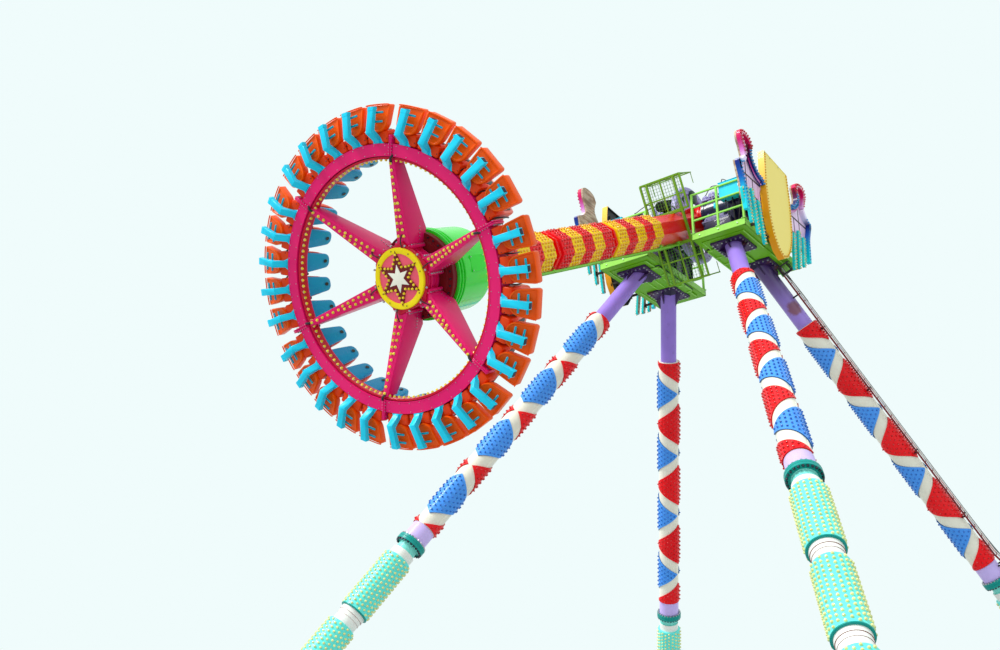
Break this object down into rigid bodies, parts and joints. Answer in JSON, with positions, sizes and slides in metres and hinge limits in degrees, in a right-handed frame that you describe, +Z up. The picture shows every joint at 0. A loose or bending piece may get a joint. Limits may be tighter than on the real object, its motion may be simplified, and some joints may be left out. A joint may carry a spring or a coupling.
{
  "type": "giant pendulum ride",
  "caption": "Giant pendulum fairground ride: a four-legged tower holds a swinging octagonal arm with a turning ring of outward-facing seats.",
  "frame": {"origin": "centre of the bounding box on the ground, under the tower", "axes": "+X the arm's swing direction, with the gondola raised towards -X; +Y the pivot's axis; +Z up"},
  "size_m": [25.027, 17.7434, 17.9],
  "materials": {
    "black_paint": "satin",
    "bright_green_paint": "gloss",
    "cyan_paint": "gloss",
    "dark_purple_paint": "gloss",
    "green_paint": "gloss",
    "lilac_paint": "gloss",
    "magenta_paint": "gloss",
    "mint_paint": "gloss",
    "purple_paint": "gloss",
    "red_paint": "gloss",
    "salmon_shell": "smooth",
    "seat_shell": "moulded",
    "striped_shell": "moulded, studded",
    "wing_shell": "moulded",
    "yellow_board": "smooth",
    "yellow_shell": "moulded, studded"
  },
  "bodies": {
    "tower": {"cabinet_far": "cyan_paint", "cabinet_near": "cyan_paint", "caps_far": "lilac_paint", "caps_near": "lilac_paint", "cradle_far": "lilac_paint", "cradle_near": "lilac_paint", "deck_far": "green_paint", "deck_near": "green_paint", "head_far": "dark_purple_paint", "head_near": "dark_purple_paint", "leg_far_left_lower": "mint_paint", "leg_far_left_sleeve": "striped_shell", "leg_far_left_tube": "purple_paint", "leg_far_right_lower": "mint_paint", "leg_far_right_sleeve": "striped_shell", "leg_far_right_tube": "purple_paint", "leg_ladder": "black_paint", "leg_near_left_lower": "mint_paint", "leg_near_left_sleeve": "striped_shell", "leg_near_left_tube": "purple_paint", "leg_near_right_lower": "mint_paint", "leg_near_right_sleeve": "striped_shell", "leg_near_right_tube": "purple_paint", "railing_far": "green_paint", "railing_near": "green_paint", "sign_far": "yellow_board", "sign_near": "yellow_board", "wing_far_left": "wing_shell", "wing_far_right": "wing_shell", "wing_near_left": "wing_shell", "wing_near_right": "wing_shell"},
    "arm": {"arm_balconies": "green_paint", "arm_beam": "red_paint", "arm_cover_1": "yellow_shell", "arm_cover_2": "yellow_shell", "arm_cover_3": "yellow_shell", "arm_drum": "bright_green_paint", "arm_ladder": "green_paint", "arm_motor": "black_paint", "arm_shaft": "lilac_paint"},
    "gondola": {"gondola_cap": "salmon_shell", "gondola_hub": "magenta_paint", "gondola_side_1": "seat_shell", "gondola_side_2": "seat_shell", "gondola_side_3": "seat_shell", "gondola_side_4": "seat_shell", "gondola_side_5": "seat_shell", "gondola_side_6": "seat_shell"}
  },
  "joints": [
    {"name": "arm_swing", "type": "hinge", "parent": "tower", "child": "arm", "pos_m": [1.05257, 0, 16.7], "axis": [0, 1, 0], "range_deg": [-181.7, 58.3]},
    {"name": "gondola_spin", "type": "hinge", "parent": "arm", "child": "gondola", "pos_m": [-10.94834, 0, 10.23818], "axis": [0.8805, 0, 0.4741], "continuous": true}
  ]
}
